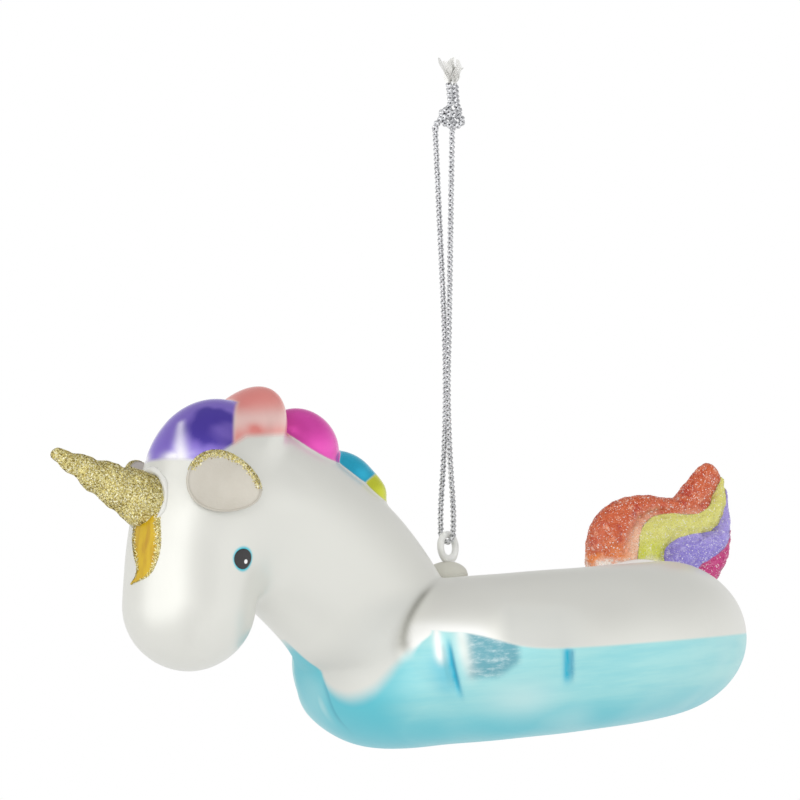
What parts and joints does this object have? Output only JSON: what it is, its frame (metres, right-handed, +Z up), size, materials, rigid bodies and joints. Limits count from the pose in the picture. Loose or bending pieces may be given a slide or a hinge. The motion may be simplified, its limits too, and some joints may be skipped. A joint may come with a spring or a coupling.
{
  "type": "hanging glass ornament",
  "caption": "Hanging blown-glass ornament shaped as a unicorn swim ring, with a glued glitter horn, ears and tail, a capped spout and a knotted metallic cord loop.",
  "frame": {"origin": "inside the top of the cord loop, just under the knot, where a twig or hook carries it", "axes": "+Z up; the unicorn looks along -X and its left side faces -Y"},
  "size_m": [0.149, 0.0828, 0.125],
  "materials": {
    "lacquered_glass": "silvered blown glass under satin pearl-white and turquoise lacquer, with glossy candy-coloured mane and a painted eye",
    "lacquered_cap": "satin pearl-white lacquer like the body",
    "frosted_plastic": "translucent frosted moulding",
    "gold_glitter": "solid glass cone under coarse gold glitter",
    "clear_glue": "clear set glue",
    "cream_pearl": "cream pearl lacquer with a gold-glitter rim",
    "striped_glitter": "fine sparkling glitter in orange, yellow, lilac and pink stripes",
    "milky_glue": "milky set glue",
    "metallic_cord": "braided silver metallic yarn"
  },
  "bodies": {
    "cord": {"cord_loop": "metallic_cord", "cord_knot": "metallic_cord", "cord_end_left": "metallic_cord", "cord_end_right": "metallic_cord"},
    "ornament": {"glass_body": "lacquered_glass", "hanger_cap": "lacquered_cap", "hanger_eye": "frosted_plastic", "horn": "gold_glitter", "horn_glue": "clear_glue", "ear_left": "cream_pearl", "ear_left_glue": "clear_glue", "ear_right": "cream_pearl", "ear_right_glue": "clear_glue", "tail": "striped_glitter", "tail_glue": "milky_glue"}
  },
  "joints": [
    {"name": "ornament_swing", "type": "hinge", "parent": "cord", "child": "ornament", "pos_m": [0, 0, -0.0741], "axis": [0.9563, 0.2924, 0], "range_deg": [-75, 75]}
  ]
}
